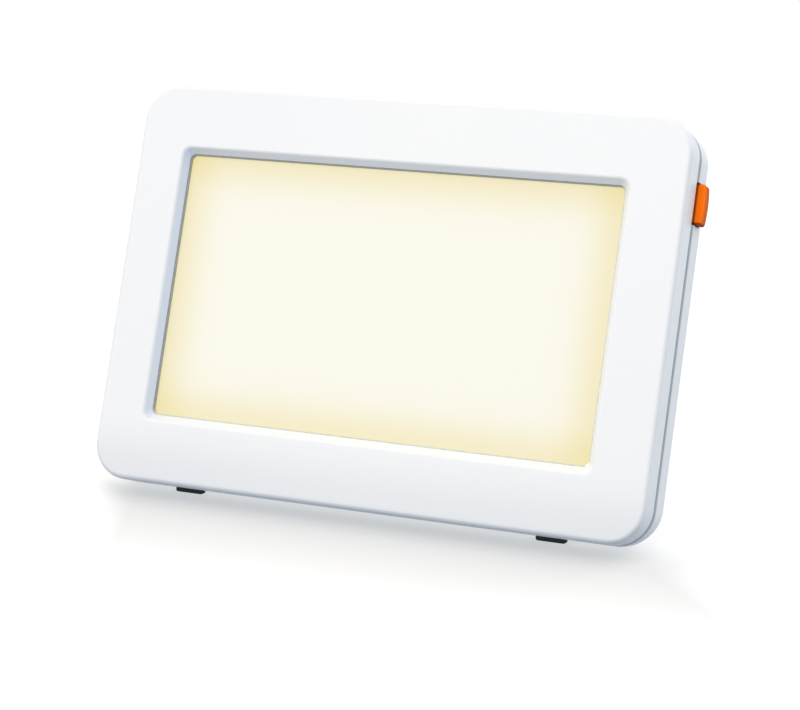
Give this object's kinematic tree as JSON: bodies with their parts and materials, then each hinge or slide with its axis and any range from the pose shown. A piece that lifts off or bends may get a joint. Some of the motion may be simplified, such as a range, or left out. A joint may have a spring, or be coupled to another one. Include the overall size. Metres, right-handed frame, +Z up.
{
  "type": "light therapy lamp",
  "caption": "Slab-shaped table-top daylight lamp with a large lit screen, leaning back on rubber feet and a fold-out stand, with a push button in its right side.",
  "frame": {"origin": "on the table, under the middle of the lamp's width and of its depth with the stand open", "axes": "+X to the right as seen from the front, +Y to the back, +Z up; the housing leans back by 21.72 degrees"},
  "size_m": [0.2574, 0.1, 0.1711],
  "materials": {
    "shell_white": "gloss",
    "cover_white": "satin",
    "lit_opal": "satin, lit from behind",
    "inner_white": "matt",
    "button_orange": "satin",
    "rubber_black": "matt",
    "plastic_black": "satin",
    "board_green": "satin",
    "board_white": "satin",
    "sheet_aluminium": "brushed",
    "bright_steel": "satin",
    "foam_grey": "matt",
    "ferrite_dark": "matt"
  },
  "bodies": {
    "housing": {"front_bezel": "shell_white", "rear_cover": "cover_white", "diffuser_screen": "lit_opal", "screen_gasket": "foam_grey", "reflector_frame": "inner_white", "led_board": "board_white", "heat_spreader": "sheet_aluminium", "driver_board": "board_green", "driver_inductor": "ferrite_dark", "driver_capacitor": "plastic_black", "driver_chip": "plastic_black", "dc_jack": "plastic_black", "switch_body": "plastic_black", "foot_left": "rubber_black", "foot_right": "rubber_black", "jack_lead": "plastic_black", "switch_lead": "plastic_black", "board_lead": "plastic_black", "stand_pin": "bright_steel", "hinge_washer_left": "inner_white", "hinge_washer_right": "inner_white", "cover_screw_1": "bright_steel", "cover_screw_2": "bright_steel", "cover_screw_3": "bright_steel", "cover_screw_4": "bright_steel", "cover_screw_5": "bright_steel", "cover_screw_6": "bright_steel", "cover_screw_7": "bright_steel", "board_screw_1": "bright_steel", "board_screw_2": "bright_steel", "board_screw_3": "bright_steel", "board_screw_4": "bright_steel", "driver_screw_1": "bright_steel", "driver_screw_2": "bright_steel"},
    "button": {"power_button": "button_orange", "switch_plunger": "inner_white"},
    "stand": {"stand_leg": "cover_white", "stand_pad": "rubber_black"}
  },
  "joints": [
    {"name": "button_press", "type": "slide", "parent": "housing", "child": "button", "axis": [-1, 0, 0], "range_m": [0, 0.0012], "stiffness_N_per_m": 1500, "springref_m": -0.001},
    {"name": "stand_fold", "type": "hinge", "parent": "housing", "child": "stand", "pos_m": [-0.0016, 0.01705, 0.1028], "axis": [1, 0, 0], "range_deg": [-38, 0]}
  ]
}
